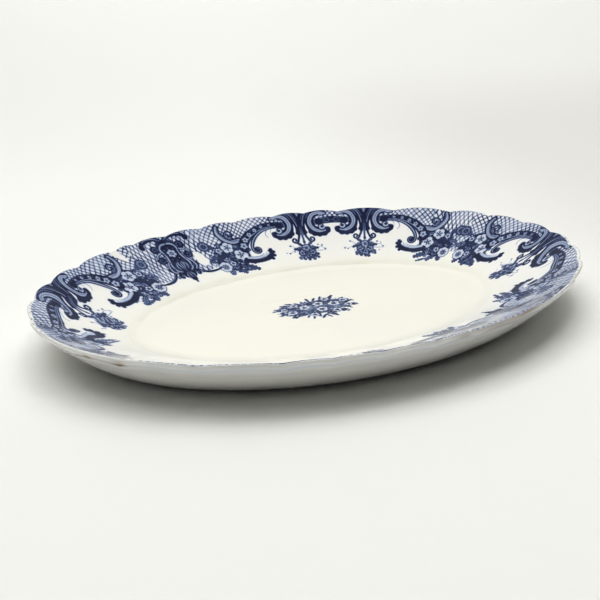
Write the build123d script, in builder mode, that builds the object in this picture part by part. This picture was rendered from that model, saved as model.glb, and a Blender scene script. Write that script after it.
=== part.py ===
from build123d import *
import os
from math import cos, hypot, pi, sin

# Oval serving platter in glazed, transfer-printed earthenware. Millimetres, +Z up.
# The origin is the middle of the platter on the surface that it stands on, with the
# long way of the oval along X. An inset is measured inwards from the rim's oval.

# Overall size, over the glaze
LENGTH = 406.0  # crown of the end scallops to crown of the end scallops
WIDTH = 307.0
HEIGHT = 37.0

# Face: a broad rim that curves down to a flat well
WELL_INSET = 77.0  # where the rim's slope runs out into the well
WELL_Z = 6.3  # top of the well floor
FACE_CURVE = 1.55  # 1 is a straight slope, more is a deeper hollow

# Back: a flared side, a low foot and a shallow recess inside the foot
LIP_THICK = 3.4  # glazed edge of the rim, top to bottom
FOOT_INSET = 40.5  # outside of the foot
FOOT_WIDE = 7.5
RECESS_DEEP = 1.6
SIDE_CURVE = 1.3  # 1 is a straight side, more flares out under the lip

# Scalloped edge: the lobes of half the edge, in order from the +X end towards +Y, as
# lengths along the edge that are scaled to fit it. The other half is the same, turned.
LOBES = (34, 35, 35, 51, 51, 30, 29, 35, 32, 33, 31, 18, 43, 36, 35, 35)
LOBE_RISE = 0.055  # depth of the notches beside a lobe, per length of the lobe

# Coats
GLAZE = 0.5  # glaze over clay
FILM = 0.2  # cobalt print, between the clay and the glaze
FOOT_BARE = 0.5  # height of the foot's edge that is wiped clean of glaze

# Printed transfers
BORDER_GAP = 1.5  # clay left bare between the scalloped edge and the border print
BORDER_INSET = 60.0  # inner edge of the border print, sprigs included
JOIN_ANGLE = 24.0  # where the two halves of the border meet, in plan, in degrees from +X
JOIN_GAP = 1.0
SPRAY_LONG = 66.0  # flower spray in the middle of the well
SPRAY_WIDE = 47.0

# Working values
HALF_LONG = LENGTH / 2
HALF_WIDE = WIDTH / 2
OVERRUN = 2.0  # how far the lofts run past the rim before the edge is cut
OVAL_POINTS = 32
EDGE_STEPS = 3600


def oval_point(angle, inset):
    """A point on the curve that lies a constant inset inside the rim's oval."""
    nx, ny = HALF_WIDE * cos(angle), HALF_LONG * sin(angle)
    size = hypot(nx, ny)
    return (
        HALF_LONG * cos(angle) - inset * nx / size,
        HALF_WIDE * sin(angle) - inset * ny / size,
    )


def oval(inset):
    """Points round the oval for a closed spline."""
    return [oval_point(2 * pi * i / OVAL_POINTS, inset) for i in range(OVAL_POINTS)]


def face_z(inset):
    """Height of the glazed face, from the well's edge out to the rim."""
    share = 1 - inset / WELL_INSET
    return WELL_Z + (HEIGHT - WELL_Z) * share**FACE_CURVE


def side_z(inset):
    """Height of the glazed side, from the foot out to the underside of the lip."""
    share = 1 - inset / FOOT_INSET
    return (HEIGHT - LIP_THICK) * share**SIDE_CURVE


def edge_angles(lengths):
    """Angles on the oval that lie the given lengths along its edge."""
    step = 2 * pi / EDGE_STEPS
    walked, angle, found = 0.0, 0.0, []
    for length in lengths:
        while walked < length:
            walked += hypot(HALF_LONG * sin(angle), HALF_WIDE * cos(angle)) * step
            angle += step
        found.append(angle)
    return found


def edge_length():
    """Length of half the rim's oval."""
    step = 2 * pi / EDGE_STEPS
    angles = [step * i for i in range(EDGE_STEPS // 2)]
    return sum(hypot(HALF_LONG * sin(a), HALF_WIDE * cos(a)) * step for a in angles)


def lobes(inset):
    """Start, crown and end of each scallop, on an edge moved in by the inset."""
    scale = edge_length() / sum(LOBES)
    ends, crowns, reach = [], [], 0.0
    for lobe in LOBES:
        crowns.append(reach + lobe * scale / 2)
        reach += lobe * scale
        ends.append(reach)
    end_angles = [a - pi for a in edge_angles(ends)[-1:]] + edge_angles(ends)
    crown_angles = edge_angles(crowns)
    depths = [LOBE_RISE * scale * (LOBES[i - 1] + LOBES[i]) / 2 for i in range(len(LOBES))]
    depths.append(depths[0])
    scallops = []
    for turn in (0, pi):
        for i, crown in enumerate(crown_angles):
            start = oval_point(end_angles[i] + turn, inset + depths[i])
            end = oval_point(end_angles[i + 1] + turn, inset + depths[i + 1])
            scallops.append((start, oval_point(crown + turn, inset), end))
    return scallops


def oval_face(z, inset):
    with BuildSketch(Plane.XY.offset(z)) as section:
        with BuildLine():
            Spline(*oval(inset), periodic=True)
        make_face()
    return section.sketch


def scalloped_prism(inset):
    """A tall block with the scalloped edge, moved in by the inset."""
    scallops = lobes(inset)
    with BuildPart() as prism:
        with BuildSketch(Plane.XY.offset(-HEIGHT)):
            with BuildLine():
                for i, (start, crown, end) in enumerate(scallops):
                    ThreePointArc(start, crown, scallops[(i + 1) % len(scallops)][0])
            make_face()
        extrude(amount=3 * HEIGHT)
    return prism.part


def hollow(drop):
    """The space over the face, with its floor lowered by the drop."""
    shares = (0.0, 0.12, 0.27, 0.43, 0.6, 0.8, 1.0)
    reach = WELL_INSET + OVERRUN
    with BuildPart() as space:
        for share in shares:
            inset = WELL_INSET - reach * share
            add(oval_face(face_z(inset) - drop, inset))
        loft()
        top = face_z(-OVERRUN) - drop
        extrude(oval_face(top, -OVERRUN), amount=HEIGHT)
    return space.part


def block(base_z, skin):
    """The outer shape, from its base up past the rim, moved in by the skin."""
    shares = (0.0, 0.1, 0.25, 0.45, 0.7, 1.0)
    low = FOOT_INSET * (1 - (base_z / (HEIGHT - LIP_THICK)) ** (1 / SIDE_CURVE))
    reach = low + OVERRUN
    with BuildPart() as outer:
        for share in shares:
            inset = low - reach * share
            add(oval_face(side_z(inset) + skin, inset + skin))
        loft()
        extrude(oval_face(side_z(-OVERRUN) + skin, -OVERRUN + skin), amount=HEIGHT)
    return outer.part


foot_inner = FOOT_INSET + FOOT_WIDE
clay_recess = RECESS_DEEP + GLAZE
over_clay = hollow(GLAZE)
over_film = hollow(GLAZE - FILM)
over_glaze = hollow(0)

# The pressed clay: rim, well, side and foot in one piece, biscuit fired
with BuildPart() as clay_body:
    add(block(FOOT_BARE, GLAZE))
    extrude(oval_face(0, FOOT_INSET + GLAZE), amount=FOOT_BARE + GLAZE)
    extrude(oval_face(0, foot_inner - GLAZE), amount=clay_recess, mode=Mode.SUBTRACT)
    add(over_clay, mode=Mode.SUBTRACT)
    add(scalloped_prism(GLAZE), mode=Mode.INTERSECT)
clay_body.part.label = "clay_body"

# The border: two strips of cobalt transfer, each laid round half of the rim's face
half_size = 2 * LENGTH
border_halves = []
for name, side in (("border_print_back", 1), ("border_print_front", -1)):
    with BuildPart() as border_print:
        add(over_clay)
        add(over_film, mode=Mode.SUBTRACT)
        add(scalloped_prism(BORDER_GAP), mode=Mode.INTERSECT)
        extrude(oval_face(-HEIGHT, BORDER_INSET), amount=3 * HEIGHT, mode=Mode.SUBTRACT)
        with Locations(Rot(0, 0, JOIN_ANGLE)):
            with Locations((0, side * (half_size + JOIN_GAP) / 2, 0)):
                Box(half_size, half_size, half_size, mode=Mode.INTERSECT)
    border_print.part.label = name
    border_halves.append(border_print.part)

# The flower spray: one piece of cobalt transfer in the middle of the well
clay_floor = WELL_Z - GLAZE
with BuildPart() as centre_print:
    with BuildSketch(Plane.XY.offset(clay_floor)):
        Ellipse(SPRAY_LONG / 2, SPRAY_WIDE / 2)
    extrude(amount=FILM)
centre_print.part.label = "centre_print"

# The glaze that one dip leaves over the face, the edge and the side
with BuildPart() as glaze_coat:
    add(block(FOOT_BARE, 0))
    add(over_glaze, mode=Mode.SUBTRACT)
    add(scalloped_prism(0), mode=Mode.INTERSECT)
    add(clay_body.part, mode=Mode.SUBTRACT)
    extrude(oval_face(0, FOOT_INSET + GLAZE), amount=clay_recess, mode=Mode.SUBTRACT)
    add([*border_halves, centre_print.part], mode=Mode.SUBTRACT)
glaze_coat.part.label = "glaze_coat"

# The glaze inside the foot, cut off from the rest by the wiped foot
with BuildPart() as base_glaze:
    extrude(oval_face(FOOT_BARE, foot_inner - GLAZE), amount=clay_recess - FOOT_BARE)
    extrude(oval_face(0, foot_inner), amount=RECESS_DEEP, mode=Mode.SUBTRACT)
base_glaze.part.label = "base_glaze"

os.makedirs("parts", exist_ok=True)
export_step(clay_body.part, "parts/clay_body.step")
export_step(glaze_coat.part, "parts/glaze_coat.step")
export_step(base_glaze.part, "parts/base_glaze.step")
export_step(centre_print.part, "parts/centre_print.step")
for half in border_halves:
    export_step(half, f"parts/{half.label}.step")
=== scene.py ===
"""An oval serving platter in glazed earthenware with a blue printed border.

The drawing of the border is made flat, in millimetres: x runs along the rim's edge, clockwise
from the left end of the oval, and y is the inset, measured in from the rim's oval. The sheets of
print are then laid on the rim's curved face. Everything else is in metres.
"""

import math

import bpy
import mathutils
import numpy as np
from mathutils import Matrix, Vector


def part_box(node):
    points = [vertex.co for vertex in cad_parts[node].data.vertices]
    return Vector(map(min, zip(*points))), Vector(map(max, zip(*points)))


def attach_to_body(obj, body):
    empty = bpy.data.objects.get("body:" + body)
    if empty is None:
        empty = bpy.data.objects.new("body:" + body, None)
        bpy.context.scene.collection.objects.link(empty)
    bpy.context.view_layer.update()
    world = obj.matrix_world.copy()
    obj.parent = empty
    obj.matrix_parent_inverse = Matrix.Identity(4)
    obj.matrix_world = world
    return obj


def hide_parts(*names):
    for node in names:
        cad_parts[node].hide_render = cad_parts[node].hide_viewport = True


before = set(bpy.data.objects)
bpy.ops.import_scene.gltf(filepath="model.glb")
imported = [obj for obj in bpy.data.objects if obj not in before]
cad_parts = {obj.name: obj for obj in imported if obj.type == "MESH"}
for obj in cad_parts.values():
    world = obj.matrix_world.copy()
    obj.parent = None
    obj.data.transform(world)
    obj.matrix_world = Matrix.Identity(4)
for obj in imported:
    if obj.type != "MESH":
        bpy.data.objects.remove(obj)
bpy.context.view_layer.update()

bl_info = {
    "name": "Printed Oval Platter",
    "version": (1, 0, 0),
    "blender": (4, 5, 0),
    "location": "View3D > Sidebar > Platter",
    "description": "Builds an oval earthenware platter with a scalloped rim and a blue print",
    "category": "Add Mesh",
}

MM = 0.001
BASE_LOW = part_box("base_glaze")[0]
BODY = "root"

# Lobes of half the scalloped edge, from the +X end towards +Y, as lengths along the edge
LOBES = (34, 35, 35, 51, 51, 30, 29, 35, 32, 33, 31, 18, 43, 36, 35, 35)
LOBE_RISE = 0.055
COMMON_LOBE = 0.035
WAVE = 0.00035
SCALLOP_REACH, WAVE_REACH = 0.014, 0.016
FACE_CURVE = 1.55
SIDE_CURVE = 1.3
# Raised lines below the lip: distance from the edge, half width, height
BEADS = ((0.0046, 0.0008, 0.00025), (0.0074, 0.0009, 0.0002))


# ---------------------------------------------------------------------------------------------
# Sizes and colours
# ---------------------------------------------------------------------------------------------


def size_prop(name, description, default):
    return bpy.props.FloatProperty(
        name=name, description=description, default=default, min=0.0, unit="LENGTH", precision=4
    )


def colour_prop(name, description, default):
    return bpy.props.FloatVectorProperty(
        name=name, description=description, default=default, size=3, subtype="COLOR", min=0, max=1
    )


class PlatterSizes(bpy.types.PropertyGroup):
    half_long: size_prop("Half length", "Middle to the end of the rim's oval", 0.203)
    half_wide: size_prop("Half width", "Middle to the side of the rim's oval", 0.1535)
    height: size_prop("Height", "Table to the top of the rim", 0.037)
    lip: size_prop("Lip", "Thickness of the rim's edge", 0.0034)
    well_inset: size_prop("Well inset", "Rim to the edge of the well", 0.077)
    well_z: size_prop("Well height", "Table to the well's floor", 0.0063)
    foot_inset: size_prop("Foot inset", "Rim to the outside of the foot", 0.0405)
    foot_wide: size_prop("Foot width", "Width of the foot", 0.0075)
    recess: size_prop("Recess", "Depth of the hollow inside the foot", float(BASE_LOW[2]) + 0.0011)
    glaze: size_prop("Glaze", "Thickness of the glaze", 0.0005)
    bare: size_prop("Bare foot", "Height of the wiped foot", float(BASE_LOW[2]))
    nose: size_prop("Nose", "Depth of the rounding of the lip", 0.0017)


class PlatterColours(bpy.types.PropertyGroup):
    well: colour_prop("Well", "Ivory ground of the well", (0.97, 0.95, 0.835))
    rim: colour_prop("Rim", "Whiter ground of the rim", (0.955, 0.945, 0.885))
    # painted shade: the side and the back are greyer than the face
    back: colour_prop("Back", "Ground of the side and the back", (0.80, 0.79, 0.755))
    # painted shade round the crease of the well
    crease_shade: colour_prop("Crease", "Greyer glaze round the well", (0.76, 0.755, 0.62))
    pooled: colour_prop("Pooled glaze", "Blue-grey glaze along the lip", (0.60, 0.65, 0.74))
    flow: colour_prop("Flow", "Blue that has run into the glaze", (0.50, 0.57, 0.86))
    pale_ink: colour_prop("Pale ink", "Palest printed blue", (0.42, 0.50, 0.68))
    middle_ink: colour_prop("Middle ink", "Middle printed blue", (0.058, 0.088, 0.205))
    dark_ink: colour_prop("Dark ink", "Darkest printed blue", (0.006, 0.010, 0.042))
    stain: colour_prop("Stain", "Brown in the crazed lip", (0.19, 0.085, 0.025))
    biscuit: colour_prop("Biscuit", "Bare clay of the foot", (0.62, 0.55, 0.43))


# ---------------------------------------------------------------------------------------------
# Shape of the platter
# ---------------------------------------------------------------------------------------------


class Shape:
    """Answers where the platter's surfaces are, for arrays of positions."""

    STEPS = 7200

    def __init__(self, sizes):
        self.s = sizes
        angle = np.linspace(math.pi, -math.pi, self.STEPS + 1)
        across = np.hypot(
            np.diff(sizes.half_long * np.cos(angle)), np.diff(sizes.half_wide * np.sin(angle))
        )
        self.angle = angle
        self.reach = np.concatenate([[0.0], np.cumsum(across)])
        self.edge = float(self.reach[-1])
        self.lobe_ends = self.find_lobes()

    def find_lobes(self):
        """Distances along the edge of the notches, and the depth of each."""
        half = self.edge / 2
        scale = half / sum(LOBES)
        ends = np.cumsum((0,) + LOBES) * scale
        pairs = zip(LOBES[-1:] + LOBES, LOBES + LOBES[:1])
        depth = [LOBE_RISE * scale * (before + after) / 2 for before, after in pairs]
        along = np.concatenate([half - ends[::-1], self.edge - ends[-2::-1]])
        depths = np.concatenate([depth[::-1], depth[-2::-1]])
        return along, depths

    def scallop(self, along):
        """How far the scalloped edge lies inside the oval."""
        ends, depths = self.lobe_ends
        along = np.mod(along, self.edge)
        i = np.clip(np.searchsorted(ends, along, side="right") - 1, 0, len(ends) - 2)
        share = (along - ends[i]) / (ends[i + 1] - ends[i])
        near = np.where(share < 0.5, depths[i], depths[i + 1])
        return near * (2 * share - 1) ** 2

    def oval(self, along):
        """Point on the rim's oval and the outward direction there."""
        angle = np.interp(np.mod(along, self.edge), self.reach, self.angle)
        out = np.stack([self.s.half_wide * np.cos(angle), self.s.half_long * np.sin(angle)], -1)
        out /= np.linalg.norm(out, axis=-1, keepdims=True)
        point = np.stack([self.s.half_long * np.cos(angle), self.s.half_wide * np.sin(angle)], -1)
        return point, out

    def face_z(self, inset):
        share = np.clip(1 - inset / self.s.well_inset, 0, None)
        return self.s.well_z + (self.s.height - self.s.well_z) * share**FACE_CURVE

    def side_z(self, inset):
        share = np.clip(1 - inset / self.s.foot_inset, 0, None)
        return (self.s.height - self.s.lip) * share**SIDE_CURVE

    def inset_at(self, along, run):
        """Inset of a line that follows the scallops at the edge and the oval further in."""
        fade = np.clip(1 - run / SCALLOP_REACH, 0, 1) ** 2
        return run + self.scallop(along) * fade

    def wave(self, along, run):
        """Small rise of each lobe and fall at each notch, which fade away from the edge."""
        lobe = self.scallop(along) / (LOBE_RISE * COMMON_LOBE)
        fade = np.clip(1 - run / WAVE_REACH, 0, 1) ** 1.5
        return WAVE * (0.5 - 1.5 * np.clip(lobe, 0, 1.4)) * fade

    def nose_share(self, run):
        """0 where the face begins, 0.5 at the lip's outermost line."""
        return (1 - np.sqrt(np.clip(1 - (1 - np.clip(run / self.s.nose, 0, 1)) ** 2, 0, 1))) / 2

    def place(self, along, inset, z):
        point, out = self.oval(along)
        flat = point - out * inset[..., None]
        return np.concatenate([flat, z[..., None]], -1)

    def face(self, along, run):
        """Points of the face. The run is measured in from the scalloped edge."""
        along, run = np.broadcast_arrays(along, run)
        inset = self.inset_at(along, run)
        share = self.nose_share(run)
        z = self.face_z(inset) * (1 - share) + self.side_z(inset) * share
        return self.place(along, inset, z + self.wave(along, run))

    def side(self, along, run):
        """Points of the side, from the lip down to the foot."""
        along, run = np.broadcast_arrays(along, run)
        inset = self.inset_at(along, run)
        share = self.nose_share(run)
        beads = sum(high * np.exp(-(((run - at) / wide) ** 2)) for at, wide, high in BEADS)
        z = self.side_z(inset) * (1 - share) + self.face_z(inset) * share - beads
        return self.place(along, inset, z + self.wave(along, run))


# ---------------------------------------------------------------------------------------------
# Meshes
# ---------------------------------------------------------------------------------------------


def new_mesh(name, verts, quads, tris=()):
    """A smooth mesh object from arrays of points and corners."""
    mesh = bpy.data.meshes.new(name)
    corners = [np.asarray(quads, np.int32).reshape(-1)]
    counts = [np.full(len(quads), 4, np.int32)]
    if len(tris):
        corners.append(np.asarray(tris, np.int32).reshape(-1))
        counts.append(np.full(len(tris), 3, np.int32))
    corners, counts = np.concatenate(corners), np.concatenate(counts)
    mesh.vertices.add(len(verts))
    mesh.vertices.foreach_set("co", np.asarray(verts, np.float32).reshape(-1))
    mesh.loops.add(len(corners))
    mesh.loops.foreach_set("vertex_index", corners)
    mesh.polygons.add(len(counts))
    starts = np.concatenate([[0], np.cumsum(counts)[:-1]]).astype(np.int32)
    mesh.polygons.foreach_set("loop_start", starts)
    mesh.polygons.foreach_set("loop_total", counts)
    mesh.polygons.foreach_set("use_smooth", np.ones(len(counts), bool))
    mesh.update(calc_edges=True)
    mesh.validate()
    piece = bpy.data.objects.new(name, mesh)
    bpy.context.scene.collection.objects.link(piece)
    return piece


def quads_between(rows, columns, wrap):
    """Corners of the quads of a grid of points, row by row."""
    last = columns if wrap else columns - 1
    r, c = np.meshgrid(np.arange(rows - 1), np.arange(last), indexing="ij")
    right = (c + 1) % columns
    corners = [r * columns + c, (r + 1) * columns + c, (r + 1) * columns + right, r * columns + right]
    return np.stack(corners, -1).reshape(-1, 4)


def ringed_mesh(name, rings, first_pole, last_pole):
    """A mesh of closed rings, each end closed by a middle point. Its faces point outwards when the
    rings run from the middle of the underside, round the outside, to the middle of the top."""
    rings = np.asarray(rings)
    rows, columns = rings.shape[:2]
    verts = rings.reshape(-1, 3)
    quads = quads_between(rows, columns, True)
    near, far = np.arange(columns), (np.arange(columns) + 1) % columns
    last = (rows - 1) * columns
    tris = np.concatenate([
        np.stack([np.full(columns, len(verts)), near, far], -1),
        np.stack([last + far, last + near, np.full(columns, len(verts) + 1)], -1),
    ])
    return new_mesh(name, np.concatenate([verts, [first_pole, last_pole]]), quads, tris)


def shrunk(ring, shares, z):
    """Rings that close in on the middle of the oval at one height."""
    rows = []
    for share in shares:
        row = ring * share
        row[:, 2] = z
        rows.append(row)
    return rows


def set_values(piece, name, values):
    layer = piece.data.attributes.new(name, "FLOAT", "POINT")
    layer.data.foreach_set("value", np.asarray(values, np.float32).reshape(-1))


# ---------------------------------------------------------------------------------------------
# Flat drawing of the print
# ---------------------------------------------------------------------------------------------


def smooth_line(points, closed=False, step=0.35):
    """A smooth line through the points, sampled about every step."""
    p = np.asarray(points, float)
    if closed:
        p = np.concatenate([p[-1:], p, p[:2]])
    else:
        p = np.concatenate([2 * p[:1] - p[1:2], p, 2 * p[-1:] - p[-2:-1]])
    line = []
    for a, b, c, d in zip(p[:-3], p[1:-2], p[2:-1], p[3:]):
        n = max(2, int(np.hypot(*(c - b)) / step))
        t = (np.arange(n) / n)[:, None]
        line.append(
            0.5 * (2 * b + (c - a) * t + (2 * a - 5 * b + 4 * c - d) * t**2)
            + 0.5 * (3 * b - a - 3 * c + d) * t**3
        )
    if not closed:
        line.append(p[-2:-1])
    return np.concatenate(line)


class Sheet:
    """A flat print: ink from 0, bare, to 1, darkest. Positions are in millimetres."""

    FINE = 5  # dots per millimetre

    def __init__(self, left, top, wide, deep, wraps):
        self.left, self.top, self.wraps = left, top, wraps
        self.columns, self.rows = round(wide * self.FINE), round(deep * self.FINE)
        self.ink = np.zeros((self.rows, self.columns), np.float32)

    def window(self, low, high):
        """Row and column numbers that cover a box, and the positions of their dots."""
        c = np.arange(
            math.floor((low[0] - self.left) * self.FINE), math.ceil((high[0] - self.left) * self.FINE)
        )
        r = np.arange(
            max(0, math.floor((low[1] - self.top) * self.FINE)),
            min(self.rows, math.ceil((high[1] - self.top) * self.FINE)),
        )
        x = self.left + (c + 0.5) / self.FINE
        y = self.top + (r + 0.5) / self.FINE
        if self.wraps:
            c = c % self.columns
        else:
            inside = (c >= 0) & (c < self.columns)
            c, x = c[inside], x[inside]
        return r, c, x[None, :], y[:, None]

    def lay(self, r, c, mask, tone):
        if not len(r) or not len(c):
            return
        here = np.ix_(r, c)
        self.ink[here] += (tone - self.ink[here]) * mask

    def stroke(self, line, widths, tone):
        """A line of changing width."""
        widths = np.interp(np.linspace(0, 1, len(line)), np.linspace(0, 1, len(widths)), widths)
        reach = widths.max() / 2 + 0.4
        r, c, x, y = self.window(line.min(0) - reach, line.max(0) + reach)
        if not len(r) or not len(c):
            return
        mask = np.zeros((len(r), len(c)), np.float32)
        for a, b, w0, w1 in zip(line[:-1], line[1:], widths[:-1], widths[1:]):
            pad = max(w0, w1) / 2 + 0.3
            c0, c1 = np.searchsorted(x[0], (min(a[0], b[0]) - pad, max(a[0], b[0]) + pad))
            r0, r1 = np.searchsorted(y[:, 0], (min(a[1], b[1]) - pad, max(a[1], b[1]) + pad))
            xs, ys = x[:, c0:c1] - a[0], y[r0:r1] - a[1]
            d = b - a
            t = np.clip((xs * d[0] + ys * d[1]) / max(d @ d, 1e-9), 0, 1)
            gap = np.hypot(xs - t * d[0], ys - t * d[1]) - (w0 + (w1 - w0) * t) / 2
            part = mask[r0:r1, c0:c1]
            np.maximum(part, np.clip(0.5 - gap * self.FINE, 0, 1), out=part)
        self.lay(r, c, mask, tone)

    def fill(self, outline, tone):
        """The inside of a closed outline."""
        r, c, x, y = self.window(outline.min(0), outline.max(0))
        if not len(r) or not len(c):
            return
        inside = np.zeros((len(r), len(c)), bool)
        for a, b in zip(outline, np.roll(outline, -1, 0)):
            if a[1] == b[1]:
                continue
            crosses = (y >= min(a[1], b[1])) & (y < max(a[1], b[1]))
            inside ^= crosses & (x < a[0] + (y - a[1]) * (b[0] - a[0]) / (b[1] - a[1]))
        self.lay(r, c, inside.astype(np.float32), tone)

    def soften(self, ink, dots):
        """The ink spread by about that many dots."""
        reach = int(3 * dots)
        weights = np.exp(-0.5 * (np.arange(-reach, reach + 1) / dots) ** 2)
        weights /= weights.sum()
        along = sum(w * np.roll(ink, k, 1) for k, w in zip(range(-reach, reach + 1), weights))
        padded = np.pad(along, ((reach, reach), (0, 0)), mode="edge")
        return sum(w * padded[k : k + ink.shape[0]] for k, w in enumerate(weights))

    def read(self, ink, x, y):
        """Ink at positions, from the four dots round each."""
        c = (x - self.left) * self.FINE - 0.5
        r = np.clip((y - self.top) * self.FINE - 0.5, 0, self.rows - 1.001)
        c = np.mod(c, self.columns) if self.wraps else np.clip(c, 0, self.columns - 1.001)
        c0, r0 = np.floor(c).astype(int), np.floor(r).astype(int)
        u, v = c - c0, r - r0
        c1, r1 = (c0 + 1) % self.columns, np.minimum(r0 + 1, self.rows - 1)
        c0 = c0 % self.columns
        top = ink[r0, c0] * (1 - u) + ink[r0, c1] * u
        return top * (1 - v) + (ink[r1, c0] * (1 - u) + ink[r1, c1] * u) * v


class Pen:
    """Draws on a sheet from a place of its own, mirrored or turned."""

    DARK, MID, PALE, BARE = 1.0, 0.62, 0.3, 0.0

    def __init__(self, sheet, x=0.0, y=0.0, mirror=1, turn=0.0, scale=1.0):
        self.sheet, self.origin = sheet, np.array([x, y])
        c, s = math.cos(turn) * scale, math.sin(turn) * scale
        self.axes = np.array([[mirror * c, s], [-mirror * s, c]])

    def put(self, points):
        return np.asarray(points, float) @ self.axes + self.origin

    def flipped(self, side):
        """The same pen, or its mirror image for side -1."""
        pen = self.at(0, 0)
        pen.axes = np.array([[side, 0], [0, 1]]) @ pen.axes
        return pen

    def at(self, x, y, turn=0.0, scale=1.0):
        """A pen whose place is here, in this pen's own directions."""
        pen = Pen(self.sheet)
        pen.origin = self.put([(x, y)])[0]
        c, s = math.cos(turn) * scale, math.sin(turn) * scale
        pen.axes = np.array([[c, s], [-s, c]]) @ self.axes
        return pen

    def line(self, points, width, tone=DARK):
        widths = width if isinstance(width, tuple) else (width, width)
        size = math.hypot(*self.axes[0])
        self.sheet.stroke(self.put(smooth_line(points)), [w * size for w in widths], tone)

    def shape(self, points, tone=DARK):
        self.sheet.fill(self.put(smooth_line(points, closed=True)), tone)

    def dot(self, x, y, radius, tone=DARK):
        turn = np.linspace(0, 2 * math.pi, 24, endpoint=False)
        ring = np.stack([x + radius * np.cos(turn), y + radius * np.sin(turn)], -1)
        self.sheet.fill(self.put(ring), tone)

    def edged(self, points, width, tone, edge=0.7):
        """A coloured line with a dark edge on both sides."""
        widths = width if isinstance(width, tuple) else (width, width)
        self.line(points, tuple(w + 2 * edge for w in widths))
        self.line(points, widths, tone)


def spiral(x, y, radius, start, turns, tight=0.12):
    """Points of a curl that winds in to its middle."""
    steps = max(8, int(abs(turns) * 14))
    share = np.linspace(0, 1, steps)
    angle = start + turns * 2 * math.pi * share
    r = radius * (1 - share * (1 - tight))
    return np.stack([x + r * np.cos(angle), y + r * np.sin(angle)], -1)


# ---------------------------------------------------------------------------------------------
# Motifs. Each is drawn about a place of its own: x to one side, y in towards the well
# ---------------------------------------------------------------------------------------------


def ring_of(count, radius, turn):
    """Points spread evenly round the place."""
    angles = [turn + 2 * math.pi * k / count for k in range(count)]
    return [(radius * math.cos(a), radius * math.sin(a)) for a in angles]


def draw_net(sheet, left, right, bottom, cell=(4.5, 5.0), seed=0):
    """Fish-scale net between the rim and a lower edge given as points."""
    rng = np.random.default_rng(seed)
    edge = np.asarray(bottom, float)
    r, c, x, y = sheet.window((left, -1.0), (right, edge[:, 1].max()))
    low = np.interp(x, edge[:, 0], edge[:, 1])
    wander = 0.16 * np.sin(x / 6.1 + rng.uniform(0, 6)) + 0.1 * np.sin(y / 3.3 + x / 9.7)
    across, down = x / cell[0] + wander, y / cell[1] + 0.6 * wander
    a = np.abs(np.mod(across + down, 1) - 0.5) * 2
    b = np.abs(np.mod(across - down, 1) - 0.5) * 2
    web = np.clip((np.maximum(a, b) - 0.66) / 0.16, 0, 1)
    knot = np.clip((np.minimum(a, b) - 0.62) / 0.2, 0, 1)
    cells = np.floor(across + down) * 7.3 + np.floor(across - down) * 3.1
    shade = 0.07 + 0.16 * (0.5 + 0.5 * np.sin(cells * 5.7)) * (0.5 + 0.5 * np.sin(y / 6.0 + x / 17.0))
    heavy = 0.72 + 0.16 * np.sin(x / 7.9 + 1.7 * np.sin(y / 5.1)) + 0.25 * knot
    tone = shade * (1 - web) + heavy * web
    mask = np.clip(low - y, 0, 1) * (y > -0.9)
    here = np.ix_(r, c)
    sheet.ink[here] += (np.clip(tone, 0, 1) - sheet.ink[here]) * mask


def draw_flower(pen, radius, petals=5, tone=0.2, turn=0.3):
    """An open flower: pale petals with dark pips about a dark eye."""
    for x, y in ring_of(petals, 0.56 * radius, turn):
        pen.dot(x, y, 0.52 * radius, Pen.DARK)
    for x, y in ring_of(petals, 0.57 * radius, turn):
        pen.dot(x, y, 0.43 * radius, tone)
        pen.line([(0.2 * x, 0.2 * y), (0.9 * x, 0.9 * y)], (0.3, 0.1), Pen.MID)
    for x, y in ring_of(petals, 0.42 * radius, turn + math.pi / petals):
        pen.dot(x, y, 0.11 * radius + 0.15)
    pen.dot(0, 0, 0.24 * radius, Pen.DARK)
    pen.dot(0, 0, 0.1 * radius, Pen.PALE)


def draw_leaf(pen, long, wide, tone=0.6, veins=4):
    """A toothed leaf that points along x from the pen's place."""
    side = []
    for k in range(veins):
        a = (k + 0.6) / (veins + 0.4)
        swell = wide / 2 * math.sin(math.pi * min(1, a * 0.92 + 0.05)) ** 0.7
        side += [(long * (a - 0.06), swell * 0.72), (long * (a + 0.07), swell * 1.1)]
    outline = [(0, 0)] + side + [(long, 0)] + [(x, -y) for x, y in reversed(side)]
    pen.shape(outline, Pen.DARK)
    inner = [(0.06 * long + 0.88 * x, 0.7 * y) for x, y in outline]
    pen.shape(inner, tone)
    pen.line([(0, 0), (long * 0.9, 0)], (0.5, 0.2), Pen.DARK)
    for k in range(1, veins + 1):
        a = long * k / (veins + 1.2)
        for up in (1, -1):
            pen.line([(a, 0), (a + 0.16 * long, up * wide * 0.26)], (0.3, 0.12), 0.85)


# The band runs from the shell beside a column out to its cluster of flowers
BAND = [(11, 12.6), (20, 11.2), (30, 10.8), (38, 12.4), (46, 16.0), (52.5, 20.5), (57.5, 26), (60, 32)]
BAND_WIDTH = (4.2, 4.8, 5.2, 5.8, 6.8, 8.2, 9.4, 9.0)
NET_EDGE = [
    (8, 9), (20, 10), (38, 11), (50, 17), (58, 24), (70, 38), (95, 46), (108, 48), (118, 42), (131, 30),
]


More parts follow.
